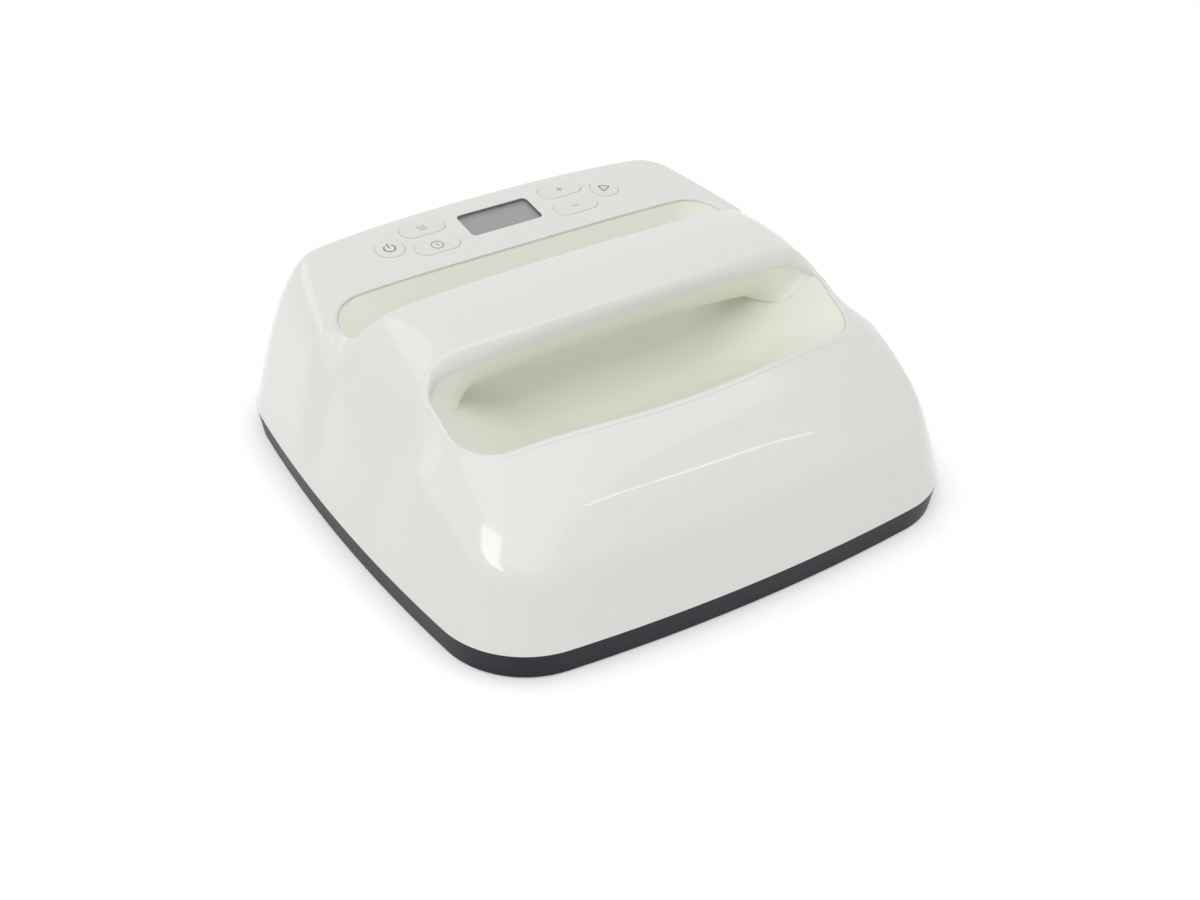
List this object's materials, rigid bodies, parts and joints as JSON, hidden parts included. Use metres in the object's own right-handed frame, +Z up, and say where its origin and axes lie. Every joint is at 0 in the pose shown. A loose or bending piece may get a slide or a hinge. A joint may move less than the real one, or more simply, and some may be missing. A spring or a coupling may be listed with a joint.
{
  "type": "handheld heat press",
  "caption": "Square handheld heat press: a moulded dome with a bar handle across a hand well, a sloping control panel with a display, and a flat heated plate below.",
  "frame": {"origin": "middle of the heated plate's lower face, which rests on the work", "axes": "+Z up, -Y the front slope ahead of the hand well, +Y the control panel, +X right"},
  "size_m": [0.25, 0.25, 0.096],
  "materials": {
    "shell_white": "glossy",
    "button_white": "satin",
    "grip_cream": "soft satin",
    "ring_slate": "satin",
    "window_clear": "clear",
    "display_grey": "satin",
    "plate_coated": "non-stick coating",
    "heater_steel": "dull",
    "fibre_blanket": "matte",
    "sheet_steel": "satin",
    "ceramic": "matte",
    "screw_steel": "satin",
    "board_green": "satin",
    "black_plastic": "satin",
    "lead_rubber": "matte"
  },
  "bodies": {
    "housing": {"upper_shell": "shell_white", "hand_well": "grip_cream", "handle_grip": "grip_cream", "lower_housing": "ring_slate", "display_window": "window_clear", "display_module": "display_grey", "heat_plate": "plate_coated", "outer_heater": "heater_steel", "inner_heater": "heater_steel", "plate_insulation": "fibre_blanket", "heat_shield": "sheet_steel", "plate_spacers": "ceramic", "plate_screws": "screw_steel", "shield_screws": "screw_steel", "housing_screws": "screw_steel", "grip_screws": "screw_steel", "board_screws": "screw_steel", "panel_screws": "screw_steel", "temperature_sensor": "sheet_steel", "thermal_fuse": "ceramic", "board_pillars": "black_plastic", "power_board": "board_green", "control_board": "board_green", "terminal_block": "black_plastic", "transformer": "black_plastic", "relay": "black_plastic", "capacitor": "black_plastic", "heater_leads": "lead_rubber", "switches": "black_plastic", "beeper": "black_plastic", "cord_gland": "ring_slate", "gland_nut": "ring_slate"},
    "power_button": {"power_button": "button_white"},
    "start_button": {"start_button": "button_white"},
    "temperature_button": {"temperature_button": "button_white"},
    "timer_button": {"timer_button": "button_white"},
    "plus_button": {"plus_button": "button_white"},
    "minus_button": {"minus_button": "button_white"}
  },
  "joints": [
    {"name": "power_press", "type": "slide", "parent": "housing", "child": "power_button", "axis": [0, 0.1191, -0.9929], "range_m": [0, 0.0008], "stiffness_N_per_m": 900},
    {"name": "start_press", "type": "slide", "parent": "housing", "child": "start_button", "axis": [0, 0.1191, -0.9929], "range_m": [0, 0.0008], "stiffness_N_per_m": 900},
    {"name": "temperature_press", "type": "slide", "parent": "housing", "child": "temperature_button", "axis": [0, 0.1191, -0.9929], "range_m": [0, 0.0008], "stiffness_N_per_m": 900},
    {"name": "timer_press", "type": "slide", "parent": "housing", "child": "timer_button", "axis": [0, 0.1191, -0.9929], "range_m": [0, 0.0008], "stiffness_N_per_m": 900},
    {"name": "plus_press", "type": "slide", "parent": "housing", "child": "plus_button", "axis": [0, 0.1191, -0.9929], "range_m": [0, 0.0008], "stiffness_N_per_m": 900},
    {"name": "minus_press", "type": "slide", "parent": "housing", "child": "minus_button", "axis": [0, 0.1191, -0.9929], "range_m": [0, 0.0008], "stiffness_N_per_m": 900}
  ]
}
